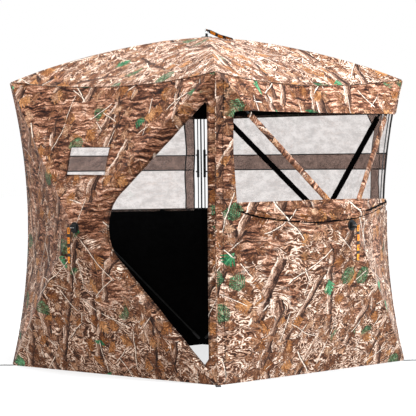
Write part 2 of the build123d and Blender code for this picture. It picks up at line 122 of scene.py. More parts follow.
class Face:
    """A wall or the roof: four gores round a hub. a runs right and b up (or back), from the hub."""

    def __init__(self, name):
        self.name = name
        self.roof = name == "roof"
        self.turn = 0 if self.roof else radians(TURNS[name])
        self.height = ROOF_RISE if self.roof else HUB_OUT
        self.bow = ROOF_BOW if self.roof else BOW
        self.across, self.up = HALF, HALF if self.roof else HUB_Z
        self.follow_from = FOLLOW_FROM["roof" if self.roof else "wall"]
        if self.roof:
            edge = (HALF, HALF, EAVE_DIP, EAVE_DIP)
            self.gores = {g: edge for g in ("right", "left", "top", "bottom")}
        else:
            side = (HALF, HUB_Z, WAIST, WAIST)
            self.gores = {"right": side, "left": side, "top": (HUB_Z, HALF, EAVE_DIP, EAVE_DIP),
                          "bottom": (HUB_Z, HALF, 0.0, 0.0)}
        waves = 26
        self.wave_dir = rng.uniform(0, 2 * pi, waves)
        self.wave_len = rng.uniform(0.05, 0.32, waves)
        self.wave_phase = rng.uniform(0, 2 * pi, waves)

    def gore_of(self, a, b):
        """Gore index of each point: 0 right, 1 left, 2 top, 3 bottom."""
        side = np.abs(a) / self.across >= np.abs(b) / self.up
        return np.where(side, np.where(a > 0, 0, 1), np.where(b > 0, 2, 3))

    def share(self, a, b):
        return np.maximum(np.abs(a) / self.across, np.abs(b) / self.up)

    def bulge(self, gore, a, b):
        """Height of the cloth over the plane of the corners, and share of the way to the edge."""
        reach, half, bend, sink = self.gores[gore]
        along, out = (b, np.abs(a)) if gore in ("right", "left") else (a, np.abs(b))
        out = np.maximum(out, 1e-7)
        slope = np.clip(along / out, -4, 4)
        s = 0.5 + slope * reach / (2 * half)
        for _ in range(14):
            s = np.clip(0.5 + slope * (reach - 4 * bend * s * (1 - s)) / (2 * half), -0.1, 1.1)
        f = 4 * s * (1 - s)
        r = out / (reach - bend * f)
        q = np.clip((r - PATCH) / (1 - PATCH), 0, 1.2)
        n = self.height * (1 - q) - sink * f * q + self.bow * 4 * q * (1 - q)
        return n, r

    def ripple(self, a, b, r, size):
        """Small slack in the cloth, none at the hub and at the edges."""
        total = np.zeros_like(a)
        for turn, length, phase in zip(self.wave_dir, self.wave_len, self.wave_phase):
            run = a * cos(turn) + b * sin(turn)
            total += (length / 0.2) * np.sin(2 * pi * run / length + phase + 2.0 * np.sin(3.1 * (a - b)))
        mask = np.clip((1 - r) / 0.16, 0, 1) * np.clip((r - PATCH) / 0.2, 0, 1)
        tent = self.tent(a, b)
        return size * 0.2 * total * mask * (1 - tent) + 0.004 * tent * mask

    def tent(self, a, b):
        """1 on the lines over the poles, where the cloth is tight, to 0 beside them."""
        off = np.abs(np.abs(a) / self.across - np.abs(b) / self.up) * self.across * 0.72
        return np.exp(-(off / 0.022) ** 2)

    def out(self, gore, a, b, slack=1.0):
        n, r = self.bulge(gore, a, b)
        return n + self.ripple(a, b, r, 0.0024 * slack)

    def place(self, a, b, n):
        """Points in the row frame, from a, b and the height n over the plane of the corners."""
        if self.roof:
            return np.stack([a, b, EAVE + n], -1)
        y = -(HALF + n)
        x = a
        return np.stack([x * cos(self.turn) - y * sin(self.turn),
                         x * sin(self.turn) + y * cos(self.turn), b + HUB_Z + 0 * a], -1)

    def axes(self):
        """Directions right, up and out of the face, in the row frame."""
        zero, one = np.array(0.0), np.array(1.0)
        return [self.place(a, b, n) - self.place(zero, zero, 0.0)
                for a, b, n in ((one, zero, 0.0), (zero, one, 0.0), (zero, zero, 1.0))]

    def edge(self, gore, s):
        """Points along one edge in a and b."""
        reach, half, bend, _ = self.gores[gore]
        f = 4 * s * (1 - s)
        out, along = reach - bend * f, half * (2 * s - 1)
        return self.towards(gore, out, along)

    def towards(self, gore, out, along):
        """a and b of a place this far out from the hub towards a gore's edge, and this far along it."""
        side = -1 if gore in ("left", "bottom") else 1
        return (side * out, along) if gore in ("right", "left") else (along, side * out)

    def outline(self):
        s = np.linspace(0, 1, 81)[:-1]
        order = (("bottom", s), ("right", s), ("top", 1 - s), ("left", 1 - s))
        runs = [self.edge(gore, at) for gore, at in order]
        return np.concatenate([np.stack([a, b], -1) for a, b in runs])


FACES = {name: Face(name) for name in ("window", "right_back", "left_back", "door", "roof")}
GORES = ("right", "left", "top", "bottom")


def fold_a(z):
    """Half width of a wall at height z."""
    s = z / EAVE
    return HALF - WAIST * 4 * s * (1 - s)


def ring(points):
    """An outline given in wall coordinates (u, z) as (a, b)."""
    return np.array([(u, z - HUB_Z) for u, z in points], float)


def box_ring(u_low, z_low, u_high, z_high):
    return ring([(u_low, z_low), (u_high, z_low), (u_high, z_high), (u_low, z_high)])


def arc_through(first, middle, last, count):
    """Points on the circle through three points."""
    (x1, y1), (x2, y2), (x3, y3) = first, middle, last
    d = 2 * (x1 * (y2 - y3) + x2 * (y3 - y1) + x3 * (y1 - y2))
    cx = ((x1**2 + y1**2) * (y2 - y3) + (x2**2 + y2**2) * (y3 - y1) + (x3**2 + y3**2) * (y1 - y2)) / d
    cy = ((x1**2 + y1**2) * (x3 - x2) + (x2**2 + y2**2) * (x1 - x3) + (x3**2 + y3**2) * (x2 - x1)) / d
    radius = hypot(x1 - cx, y1 - cy)
    turns = np.unwrap([atan2(y - cy, x - cx) for x, y in (first, middle, last)])
    return [(cx + radius * cos(t), cy + radius * sin(t)) for t in np.linspace(turns[0], turns[2], count)]


def smooth_line(points, count):
    """A Catmull-Rom line through points."""
    p = np.array(points, float)
    p = np.vstack([2 * p[0] - p[1], p, 2 * p[-1] - p[-2]])
    made = []
    for k in np.linspace(1, len(p) - 2, count):
        i = min(int(k), len(p) - 3)
        t = k - i
        a, b, c, d = p[i - 1], p[i], p[i + 1], p[i + 2]
        made.append(0.5 * (2 * b + (c - a) * t + (2 * a - 5 * b + 4 * c - d) * t**2
                           + (3 * b - a - 3 * c + d) * t**3))
    return np.array(made)


def free_edge(z):
    """Distance of a back window's free edge from the wall's middle at height z."""
    share = (z - BAND_LOW) / (BAND_TOP - BAND_LOW)
    return MESH_FREE + MESH_FREE_LEAN * (0.27 * share + 0.73 * share**2)


def upright_ring(left, right, z_low, z_high):
    """Outline between two upright edges, each given as u for a height."""
    heights = np.linspace(z_low, z_high, 14)
    return ring([(right(z), z) for z in heights] + [(left(z), z) for z in heights[::-1]])


def door_ring(grow=0.0):
    """The half-diamond doorway, made larger by grow."""
    right = [(fold_a(z) - DOOR_EDGE_GAP, z) for z in np.linspace(1.30, 0.12, 40)]
    nose = arc_through(*DOOR_NOSE, 13)[::-1]
    points = ring([DOOR_TOP] + right + [DOOR_BOTTOM] + nose)
    return offset_ring(points, grow) if grow else points


def offset_ring(points, distance):
    """A closed outline moved out by distance."""
    area = np.sum(points[:, 0] * np.roll(points[:, 1], -1) - np.roll(points[:, 0], -1) * points[:, 1])
    ahead = unit(np.roll(points, -1, 0) - points)
    mean = unit(ahead + np.roll(ahead, 1, 0))
    normal = np.stack([mean[:, 1], -mean[:, 0]], -1) * np.sign(area)
    stretch = np.clip(1 / np.maximum(np.abs((mean * ahead).sum(1)), 0.3), 1, 2.2)
    return points + normal * distance * stretch[:, None]


# ---- cloth meshes ----
def contains(points, outline):
    """Whether each point lies inside a closed outline."""
    x, y = points[:, 0][:, None], points[:, 1][:, None]
    x0, y0 = outline[:, 0], outline[:, 1]
    x1, y1 = np.roll(x0, -1), np.roll(y0, -1)
    crosses = (y0 > y) != (y1 > y)
    at = x0 + (y - y0) * (x1 - x0) / np.where(np.abs(y1 - y0) < 1e-12, 1e-12, y1 - y0)
    return (np.sum(crosses & (x < at), axis=1) % 2) == 1


def divided(line, closed, spacing):
    """A line with extra points, at most spacing apart."""
    ends = np.roll(line, -1, 0) if closed else line[1:]
    made = []
    for start, end in zip(line if closed else line[:-1], ends):
        steps = max(1, int(np.ceil(np.linalg.norm(end - start) / spacing)))
        made += [start + (end - start) * k / steps for k in range(steps)]
    if not closed:
        made.append(line[-1])
    return np.array(made)


def follow_shares(face):
    """Shares of the way from hub to edge at the borders of the strips."""
    return [face.follow_from - w * (face.follow_from - FOLLOW_ALL) for w in STRIP_WEIGHTS]


def flat_net(face, outlines, spacing):
    """Triangles over the face, with edges along the outlines, the strips and the lines over the poles."""
    size = np.array([face.across, face.up])
    corners = np.array([(-1, -1), (1, -1), (1, 1), (-1, 1)])
    lines = [(outline, True) for outline in outlines]
    lines += [(corners * share * size, True) for share in follow_shares(face)[1:-1]]
    lines += [(np.array([(-side, -1), (side, 1)]) * size, False) for side in (-1, 1)]
    points, edges = [], []
    for line, closed in lines:
        line = divided(line, closed, spacing)
        first, count = len(points), len(line)
        points += [tuple(p) for p in line]
        edges += [(first + k, first + (k + 1) % count) for k in range(count if closed else count - 1)]
    fixed = np.array(points)
    low, high = outlines[0].min(0), outlines[0].max(0)
    grid = np.stack(np.meshgrid(*(np.arange(low[k], high[k], spacing) for k in (0, 1))), -1)
    grid = grid.reshape(-1, 2) + rng.uniform(-0.18, 0.18, (grid.size // 2, 2)) * spacing
    near = np.zeros(len(grid), bool)
    for k in range(0, len(fixed), 400):
        gap = np.linalg.norm(grid[:, None] - fixed[None, k:k + 400], axis=2).min(1)
        near |= gap < 0.55 * spacing
    points += [tuple(p) for p in grid[~near]]
    verts, _, faces, *_ = delaunay_2d_cdt([Vector(p) for p in points], edges, [], 0, 1e-6)
    return np.array([tuple(v) for v in verts]), np.array([tuple(f) for f in faces if len(f) == 3])


def make_object(name, verts, faces, materials, material_of=None, uvs=None, normals=None):
    """A mesh object; uvs and normals are per face corner, and a normal of None keeps the face's own."""
    mesh = bpy.data.meshes.new(name)
    mesh.from_pydata([tuple(v) for v in verts], [], [tuple(int(i) for i in f) for f in faces])
    for material in materials:
        mesh.materials.append(material)
    if material_of is not None:
        mesh.polygons.foreach_set("material_index", np.asarray(material_of, dtype=np.int32))
    layer = mesh.uv_layers.new(name="UVMap")
    if uvs is not None:
        layer.data.foreach_set("uv", np.asarray(uvs, dtype=np.float32).ravel())
    mesh.polygons.foreach_set("use_smooth", np.ones(len(mesh.polygons), dtype=bool))
    if normals is not None:
        mesh.normals_split_custom_set([tuple(n) for n in np.asarray(normals)])
    mesh.update()
    obj = bpy.data.objects.new(name, mesh)
    bpy.context.scene.collection.objects.link(obj)
    return obj


def layered(face, gore, points, triangles, front, back, slack):
    """Closed solid of one gore strip: outer layer, inner layer and rim, with smooth normals."""
    used = np.unique(triangles)
    index = np.full(len(points), -1)
    index[used] = np.arange(len(used))
    tris = index[triangles]
    flat = points[used]
    corner = flat[tris]
    turn = np.cross(corner[:, 1] - corner[:, 0], corner[:, 2] - corner[:, 0])
    tris[turn < 0] = tris[turn < 0][:, ::-1]
    a, b = flat[:, 0], flat[:, 1]

    def surface(a, b, side):
        n = face.out(gore, a, b, slack) + (side(a, b) if callable(side) else side)
        return face.place(a, b, n)

    step = 0.0015
    count = len(used)
    layers, normals = [], []
    for side in (front, back):
        layers.append(surface(a, b, side))
        da = surface(a + step, b, side) - surface(a - step, b, side)
        db = surface(a, b + step, side) - surface(a, b - step, side)
        normals.append(unit(np.cross(da, db)))
    verts = np.concatenate(layers)
    edges = np.concatenate([tris[:, [0, 1]], tris[:, [1, 2]], tris[:, [2, 0]]])
    keys = {tuple(e) for e in edges.tolist()}
    rim = np.array([e for e in edges.tolist() if (e[1], e[0]) not in keys])
    faces = [tuple(t) for t in tris] + [tuple(t[::-1] + count) for t in tris]
    kinds = [0] * len(tris) + [1] * len(tris)
    loop_normals = [normals[0][tris].reshape(-1, 3), -normals[1][tris[:, ::-1]].reshape(-1, 3)]
    loops = [np.concatenate([tris.ravel(), tris[:, ::-1].ravel() + count])]
    if len(rim):
        quads = np.stack([rim[:, 1], rim[:, 0], rim[:, 0] + count, rim[:, 1] + count], -1)
        faces += [tuple(q) for q in quads]
        kinds += [0] * len(quads)
        side = np.cross(verts[quads[:, 1]] - verts[quads[:, 0]], verts[quads[:, 3]] - verts[quads[:, 0]])
        loop_normals.append(np.repeat(unit(side), 4, axis=0))
        loops.append(quads.ravel())
    return verts, faces, kinds, np.concatenate(loops), np.concatenate(loop_normals), flat


UV_SHIFT = {"window": 0.0, "right_back": 3.1, "left_back": 6.3, "door": 9.4, "roof": 13.0}


def flat_cut(obj, verts):
    """Width, length and area of a flat piece of cloth as large as half of a thin closed mesh."""
    area = sum(face.area for face in obj.data.polygons) / 2
    centred = verts - verts.mean(0)
    axes = np.linalg.svd(centred, full_matrices=False)[2]
    spans = [float(np.ptp(centred @ axis)) for axis in axes[:2]]
    length, width = max(LEAST_SIDE, max(spans)), min(spans)
    width = max(LEAST_SIDE, min(width, area / (0.34 * length)), area / length * 1.001)
    flat = (round(width, 4), round(length, 4))
    whole = flat[0] * flat[1]
    return flat, float(np.clip(area, 0.305 * whole, whole)), area


def cloth(label, face_name, node, materials, regions, front, back, holes=(),
          slack=1.0, spacing=PITCH, kind_of=None, clip=None):
    """Cuts regions of one face, less its holes, into gore strips: thin closed pieces."""
    face = FACES[face_name]
    points, triangles = flat_net(face, [*regions, *holes] + ([] if clip is None else [clip]), spacing)
    middle = points[triangles].mean(1)
    inside = np.any([contains(middle, region) for region in regions], axis=0)
    for hole in holes:
        inside &= ~contains(middle, hole)
    if clip is not None:
        inside &= contains(middle, clip)
    size = np.abs(np.cross(points[triangles[:, 1]] - points[triangles[:, 0]],
                           points[triangles[:, 2]] - points[triangles[:, 0]]))
    keep = inside & (size > 1e-9)
    triangles, middle = triangles[keep], middle[keep]
    gore_index = face.gore_of(middle[:, 0], middle[:, 1])
    share = face.share(middle[:, 0], middle[:, 1])
    shares = follow_shares(face)
    strip_index = np.clip(np.searchsorted(-np.array(shares[1:-1]), -share), 0, len(STRIP_WEIGHTS) - 2)
    for g, gore in enumerate(GORES):
        for strip in range(len(STRIP_WEIGHTS) - 1):
            chosen = triangles[(gore_index == g) & (strip_index == strip)]
            if len(chosen) == 0:
                continue
            verts, faces, kinds, loops, normals, flat = layered(face, gore, points, chosen, front, back,
                                                                slack)
            count = len(flat)
            uv = np.concatenate([flat, flat]) + np.array([UV_SHIFT[face_name], 0.0 if face.roof else HUB_Z])
            if len(materials) == 1:
                kinds = [0] * len(kinds)
            if kind_of is not None:
                centres = np.array([np.mean([flat[i % count] for i in f], axis=0) for f in faces])
                kinds = kind_of(centres, np.array(kinds))
            name = f"{label}_{gore}_{strip + 1}"
            obj = make_object(name, verts, faces, materials, kinds, uv[loops], normals)
            size, area, true_area = flat_cut(obj, verts)
            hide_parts(node)
            follow(obj, face, gore, strip)


def eased_back(weight):
    """Where along an eased blend its weight is the one given."""
    low, high = 0.0, 1.0
    for _ in range(50):
        mid = (low + high) / 2
        if mid * mid * (3 - 2 * mid) < weight:
            low = mid
        else:
            high = mid
    return (low + high) / 2


def follow(obj, face, gore, strip):
    """Works out where one strip's blend between the shell and its hub starts and ends, and bakes the strip's
    transform.
    """
    w0, w1 = STRIP_WEIGHTS[strip], STRIP_WEIGHTS[strip + 1]
    t0, t1 = eased_back(w0), eased_back(w1)
    rate = (t1 - t0) / (w1 - w0)
    start_w, end_w = w0 - t0 / rate, w1 + (1 - t1) / rate
    span = face.follow_from - FOLLOW_ALL
    reach = face.across if gore in ("right", "left") else face.up
    for weight in (start_w, end_w):
        out = (face.follow_from - weight * span) * reach
        a, b = face.towards(gore, np.array(out), np.array(0.0))
        tuple(face.place(a, b, 0.0))
    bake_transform(obj)


# ---- materials ----
PRINT_SIZE = 1.3        # how much finer the camouflage is than its drawing


class Paint:
    """A node material, built by small calls that each add one node."""

    def __init__(self, name):
        self.material = bpy.data.materials.new(name)
        self.material.use_nodes = True
        self.tree = self.material.node_tree
        self.tree.nodes.clear()
        self.output = self.tree.nodes.new("ShaderNodeOutputMaterial")

    def add(self, kind, values=None, out=0, **settings):
        node = self.tree.nodes.new("ShaderNode" + kind)
        for key, value in settings.items():
            setattr(node, key, value)
        for key, value in (values or {}).items():
            socket = node.inputs[key]
            if isinstance(value, bpy.types.NodeSocket):
                self.tree.links.new(value, socket)
            else:
                socket.default_value = value
        return node.outputs[out]

    def uv(self):
        return self.add("TexCoord", out="UV")

    def place(self):
        return self.add("TexCoord", out="Object")

    def math(self, operation, a, b=0.0, c=0.0):
        return self.add("Math", {0: a, 1: b, 2: c}, operation=operation)

    def times(self, a, b, plus=None):
        if plus is None:
            return self.math("MULTIPLY", a, b)
        return self.math("MULTIPLY_ADD", a, b, plus)

    def vector(self, operation, a, b=(0, 0, 0)):
        return self.add("VectorMath", {0: a, 1: b}, operation=operation)

    def part(self, vector, axis):
        return self.add("SeparateXYZ", {0: vector}, out=axis)

    def join(self, x, y, z=0.0):
        return self.add("CombineXYZ", {"X": x, "Y": y, "Z": z})

    def noise(self, vector, scale, detail=4.0, rough=0.55, out="Fac", bend=0.0):
        return self.add("TexNoise", {"Vector": vector, "Scale": scale, "Detail": detail, "Roughness": rough,
                                     "Distortion": bend}, out=out)

    def cells(self, vector, scale, out):
        return self.add("TexVoronoi", {"Vector": vector, "Scale": scale, "Randomness": 0.8}, out=out)

    def step(self, value, low, high, to_low=0.0, to_high=1.0):
        return self.add("MapRange", {"Value": value, "From Min": low, "From Max": high, "To Min": to_low,
                                     "To Max": to_high}, interpolation_type="SMOOTHSTEP")

    def ramp(self, value, *stops):
        node = self.tree.nodes.new("ShaderNodeValToRGB")
        while len(node.color_ramp.elements) < len(stops):
            node.color_ramp.elements.new(0.5)
        for element, (at, colour) in zip(node.color_ramp.elements, stops):
            element.position = at
            element.color = (*colour, 1)
        self.tree.links.new(value, node.inputs[0])
        return node.outputs[0]

    def mix(self, share, a, b, how="MIX"):
        def colour(c):
            return c if isinstance(c, bpy.types.NodeSocket) else (*c, 1)
        return self.add("Mix", {"Factor": share, 6: colour(a), 7: colour(b)}, out=2, data_type="RGBA",
                        blend_type=how)

    def bump(self, height, strength, distance, normal=None):
        values = {"Height": height, "Strength": strength, "Distance": distance}
        if normal is not None:
            values["Normal"] = normal
        return self.add("Bump", values)

    def surface(self, **values):
        names = {"colour": "Base Color", "rough": "Roughness", "metal": "Metallic", "normal": "Normal",
                 "sheen": "Sheen Weight", "sheen_rough": "Sheen Roughness", "sheen_tint": "Sheen Tint",
                 "specular": "Specular IOR Level"}
        return self.add("BsdfPrincipled", {names[k]: v for k, v in values.items()})

    def finish(self, shader):
        self.tree.links.new(shader, self.output.inputs["Surface"])
        return self.material


def camo_colours(p, uv):
    """Woodland print: streaked bark, slanting trunks, leaf litter, twigs, brown and green leaves."""
    wall_v = p.part(uv, 1)
    uv = p.vector("MULTIPLY", uv, (PRINT_SIZE, PRINT_SIZE, 1.0))
    warped = shaken(p, uv, 6.0, 0.085)
    crumpled = shaken(p, warped, 32.0, 0.026)

    patch = p.noise(uv, 3.1, 2.0)
    streaks = p.noise(p.vector("MULTIPLY", crumpled, (8.0, 56.0, 1.0)), 1.0, 5.0, 0.66)
    streaks = p.times(p.math("SUBTRACT", patch, 0.5), 0.30, streaks)
    colour = p.ramp(streaks, (0.35, (0.010, 0.0035, 0.002)), (0.43, (0.050, 0.016, 0.008)),
                    (0.50, (0.180, 0.068, 0.034)), (0.57, (0.42, 0.205, 0.125)), (0.68, (0.78, 0.52, 0.38)))

    hills = p.noise(p.vector("MULTIPLY", warped, (7.5, 17.0, 1.0)), 1.0, 2.5, 0.5, bend=0.8)
    curls = p.times(p.math("SINE", p.times(hills, 62.0)), 0.5, 0.5)
    litter = p.ramp(p.times(p.noise(crumpled, 14.0, 2.0), 0.9, p.times(curls, 0.55)),
                    (0.34, (0.010, 0.004, 0.002)), (0.52, (0.060, 0.021, 0.010)),
                    (0.72, (0.20, 0.082, 0.042)), (0.88, (0.42, 0.24, 0.155)), (0.99, (0.74, 0.56, 0.44)))
    litter_zone = p.step(p.times(wall_v, -0.30, p.noise(uv, 4.4, 2.0)), 0.27, 0.36)
    colour = p.mix(p.times(litter_zone, 0.92), colour, litter)

    trunks = ((0.46, 0.29, 0.030, 0.10, 0.49), (-0.30, 0.53, 0.026, 0.35, 0.50),
              (0.10, 0.47, 0.042, 0.72, 0.52))
    for turn, spacing, half, offset, level in trunks:
        across, along, place = stripes(p, warped, turn, spacing, offset)
        here = p.step(p.math("ABSOLUTE", place), half, half * 0.90)
        partly = p.step(p.noise(p.join(p.times(across, 0.8), along), 2.2, 1.0), level, level + 0.02)
        grain = p.noise(p.join(p.times(across, 95.0), p.times(along, 13.0)), 1.0, 4.0, 0.7)
        shade = p.times(place, -0.26 / half, p.times(grain, 1.15))
        wood = p.ramp(shade, (0.34, (0.013, 0.005, 0.003)), (0.48, (0.065, 0.027, 0.016)),
                      (0.60, (0.20, 0.096, 0.058)), (0.72, (0.43, 0.27, 0.19)), (0.88, (0.72, 0.55, 0.44)))
        colour = p.mix(p.times(here, partly), colour, wood)

    rust = ((0.072, 0.020, 0.007), (0.25, 0.092, 0.028), (0.47, 0.23, 0.100))
    dry = ((0.060, 0.020, 0.009), (0.19, 0.073, 0.032), (0.46, 0.27, 0.165))
    green = ((0.005, 0.028, 0.010), (0.020, 0.115, 0.045), (0.14, 0.32, 0.16))
    colour = leaves(p, crumpled, shifted(p, uv, 3.7, 1.9), colour, 11.0, 0.075, 0.30, dry, 3.5, 0.46)
    colour = leaves(p, crumpled, uv, colour, 7.6, 0.115, 0.50, rust, 4.5, 0.50)
    colour = leaves(p, crumpled, shifted(p, uv, 5.2, 8.4), colour, 9.2, 0.090, 0.50, dry, 2.5, 0.48)
    colour = leaves(p, crumpled, shifted(p, uv, 7.3, 5.1), colour, 5.6, 0.120, 0.76, green, 4.5, 0.57)
    colour = sprigs(p, crumpled, shifted(p, uv, 1.1, 6.6), colour, 4.8, 0.060, 0.80, green)

    twigs = ((0.95, 0.34, 0.0023, 2.0), (-0.72, 0.41, 0.0031, 5.0), (0.22, 0.47, 0.0021, 9.0),
             (-1.15, 0.58, 0.0022, 4.0), (-0.12, 0.62, 0.0027, 7.0))
    for turn, spacing, half, seed in twigs:
        bent = shaken(p, shaken(p, shifted(p, uv, seed, 0.0), 1.8, 0.22, 1.0), 11.0, 0.020, 1.0)
        place = stripes(p, bent, turn, spacing, seed / 10)[2]
        line = p.step(p.math("ABSOLUTE", place), half * 1.5, half * 0.7)
        under = p.step(p.math("ABSOLUTE", p.math("ADD", place, -half * 1.8)), half * 1.8, half * 0.8)
        partly = p.step(p.noise(shifted(p, uv, seed, seed), 3.6, 1.0), 0.545, 0.565)
        colour = p.mix(p.times(p.times(under, partly), 0.75), colour, (0.030, 0.014, 0.010))
        colour = p.mix(p.times(line, partly), colour, (0.70, 0.55, 0.44))

    grit = p.noise(crumpled, 120.0, 2.0, 0.6)
    colour = p.mix(1.0, colour, p.ramp(grit, (0.32, (0.40, 0.37, 0.36)), (0.50, (1.0, 1.0, 1.0)),
                                       (0.66, (1.7, 1.65, 1.62))), "MULTIPLY")
    veins = p.noise(p.vector("MULTIPLY", crumpled, (11.0, 23.0, 1.0)), 1.0, 2.0, 0.5, bend=0.6)
    cracks = p.step(p.math("ABSOLUTE", p.math("SINE", p.times(veins, 30.0))), 0.26, 0.08)
    some = p.step(p.noise(uv, 8.0, 2.0), 0.42, 0.52)
    return p.mix(p.times(p.times(cracks, some), 0.7), colour, (0.026, 0.012, 0.008))


def stripes(p, at, turn, spacing, offset):
    """Place across and along slanting stripes, and how far it is from the middle of its stripe."""
    u, v = p.part(at, 0), p.part(at, 1)
    across = p.times(u, cos(turn), p.times(v, -sin(turn)))
    along = p.times(u, sin(turn), p.times(v, cos(turn)))
    place = p.math("SUBTRACT", p.math("FRACT", p.times(across, 1 / spacing, offset)), 0.5)
    return across, along, p.times(place, spacing)


def shaken(p, at, scale, amount, detail=3.0):
    """A place moved about by noise."""
    shake = p.vector("SUBTRACT", p.noise(at, scale, detail, out="Color"), (0.5, 0.5, 0.5))
    return p.vector("ADD", at, p.vector("MULTIPLY", shake, (amount, amount, 0.0)))


def shifted(p, at, across, up):
    return p.vector("ADD", at, (across, up, 0.0))


def scattered(p, uv, scale, share):
    """A place seen from the middle of its cell and turned at random, and whether the cell is chosen."""
    centre = p.cells(uv, scale, "Position")
    chance = p.cells(uv, scale, "Color")
    turned = p.add("VectorRotate", {"Vector": p.vector("SUBTRACT", uv, centre),
                                    "Angle": p.times(p.part(chance, 0), 2 * pi)}, rotation_type="Z_AXIS")
    return turned, p.math("GREATER_THAN", p.part(chance, 1), share), p.part(chance, 2)


def leaves(p, crumpled, uv, colour, scale, length, share, tones, lobes, level):
    """Scatters lobed leaves with a dark rim over colour, one to a cell."""
    local, wanted, luck = scattered(p, uv, scale, share)
    x, y = p.math("ABSOLUTE", p.part(local, 0)), p.math("DIVIDE", p.part(local, 1), length)
    body = p.math("SINE", p.times(p.math("ADD", y, 0.5), pi))
    swept_y = p.times(x, -0.9 / length, y)
    teeth = p.times(p.math("ABSOLUTE", p.math("SINE", p.times(swept_y, lobes * pi))), 0.78, 0.22)
    depth = p.math("SUBTRACT", p.times(p.times(body, teeth), length * 0.46), x)
    within = p.math("LESS_THAN", p.math("ABSOLUTE", y), 0.5)
    patchy = p.step(p.noise(uv, 2.6, 1.0), level - 0.02, level + 0.01)
    chosen = p.times(within, p.times(wanted, patchy))
    rim = p.times(p.step(depth, -0.0045, -0.001), chosen)
    mask = p.times(p.step(depth, 0.0, 0.0018), chosen)
    vein = p.step(x, 0.0006, 0.0020, 1.25, 0.95)
    light = p.times(p.noise(crumpled, 24.0, 3.0, 0.7), 0.75, p.times(luck, 0.22))
    tone = p.ramp(p.times(light, vein), (0.32, tones[0]), (0.48, tones[1]), (0.66, tones[2]))
    colour = p.mix(p.times(rim, 0.8), colour, (0.022, 0.010, 0.007))
    return p.mix(mask, colour, tone)


def sprigs(p, crumpled, uv, colour, scale, radius, share, tones):
    """Scatters fir sprigs over colour: needles on both sides of a stem, with gaps between them."""
    local, wanted, _ = scattered(p, uv, scale, share)
    x, y = p.math("ABSOLUTE", p.part(local, 0)), p.part(local, 1)
    near = p.math("ADD", p.times(x, x), p.times(y, y))
    ragged = p.times(p.noise(crumpled, 30.0, 2.0), 1.1, 0.45)
    inside = p.step(p.math("DIVIDE", near, ragged), radius * radius, radius * radius * 0.8)
    needles = p.math("SINE", p.times(p.times(x, -0.75, y), 2 * pi / 0.013))
    needles = p.step(p.times(p.noise(crumpled, 60.0, 2.0), 1.6, needles), 0.78, 1.05)
    patchy = p.step(p.noise(uv, 2.0, 1.0), 0.50, 0.53)
    mask = p.times(p.times(inside, needles), p.times(wanted, patchy))
    tone = p.ramp(p.noise(crumpled, 50.0, 2.0), (0.36, tones[0]), (0.50, tones[1]), (0.66, tones[2]))
    dark = p.times(p.times(inside, p.times(wanted, patchy)), 0.45)
    return p.mix(mask, p.mix(dark, colour, (0.020, 0.016, 0.009)), tone)


def weave(p, uv, density):
    """Fine crossed threads."""
    across = p.math("SINE", p.times(p.part(uv, 0), density))
    along = p.math("SINE", p.times(p.part(uv, 1), density))
    return p.times(across, along)


def camo_material(name, shade=1.0):
    p = Paint(name)
    uv = p.uv()
    creases = p.noise(p.vector("MULTIPLY", uv, (1.0, 1.4, 1.0)), 16.0, 4.0, 0.55, bend=0.6)
    normal = p.bump(creases, 0.5, 0.006)
    normal = p.bump(weave(p, uv, 3900.0), 0.25, 0.0004, normal)
    rough = p.step(p.noise(uv, 60.0, 2.0), 0.3, 0.7, 0.72, 0.86)
    colour = p.mix(1.0, camo_colours(p, uv), (shade, shade, shade), "MULTIPLY")
    shader = p.surface(colour=colour, rough=rough, normal=normal, sheen=0.12, sheen_rough=0.30,
                       sheen_tint=(1.0, 0.86, 0.83, 1), specular=0.10)
    return p.finish(shader)


def lining_material():
    p = Paint("black_lining")
    uv = p.uv()
    tone = p.ramp(p.noise(uv, 9.0, 5.0), (0.3, (0.0009, 0.0008, 0.0008)), (0.7, (0.0024, 0.0021, 0.0020)))
    normal = p.bump(p.noise(uv, 18.0, 4.0, bend=0.5), 0.4, 0.005)
    normal = p.bump(weave(p, uv, 3900.0), 0.2, 0.0004, normal)
    rough = p.step(p.noise(uv, 30.0, 2.0), 0.3, 0.7, 0.70, 0.88)
    return p.finish(p.surface(colour=tone, rough=rough, normal=normal, specular=0.03))


def net_material(name, cover, thread, print_share):
    """See-through mesh: threads over clear holes, with the print showing faintly."""
    p = Paint(name)
    uv = p.uv()
    printed = camo_colours(p, uv)
    colour = p.mix(print_share, thread, printed)
    holes = p.step(weave(p, uv, 2600.0), -0.9, 0.9, 0.86, 1.14)
    cloudy = p.noise(p.vector("MULTIPLY", uv, (1.0, 1.5, 1.0)), 15.0, 6.0, 0.75)
    cloudy = p.step(cloudy, 0.36, 0.64, 1.45, 0.55)
    share = p.times(p.times(holes, cloudy), cover)
    threads = p.surface(colour=colour, rough=0.8, specular=0.1)
    clear = p.add("BsdfTransparent", {"Color": (1.0, 0.975, 0.965, 1)})
    return p.finish(p.add("MixShader", {0: share, 1: clear, 2: threads}))


def band_material():
    """Doubled mesh with dark sewn edges; its slanting creases are painted as darker and lighter streaks,
    painted shade and highlight.
    """
    p = Paint("doubled_mesh")
    uv = p.uv()
    slant = p.math("ADD", p.times(p.part(uv, 0), 0.8), p.times(p.part(uv, 1), 1.0))
    # painted shade and highlight: darker and lighter streaks along the slanting creases
    crease_shading = p.noise(p.join(p.times(slant, 160.0), p.times(p.part(uv, 1), 14.0)), 1.0, 3.0, 0.6)
    tone = p.ramp(crease_shading, (0.32, (0.050, 0.033, 0.028)), (0.52, (0.150, 0.108, 0.094)),
                  (0.68, (0.30, 0.235, 0.21)))
    share = p.step(p.noise(uv, 26.0, 3.0), 0.3, 0.7, 0.46, 0.60)
    threads = p.surface(colour=tone, rough=0.85, specular=0.1)
    clear = p.add("BsdfTransparent", {"Color": (1.0, 0.85, 0.79, 1)})
    return p.finish(p.add("MixShader", {0: share, 1: clear, 2: threads}))


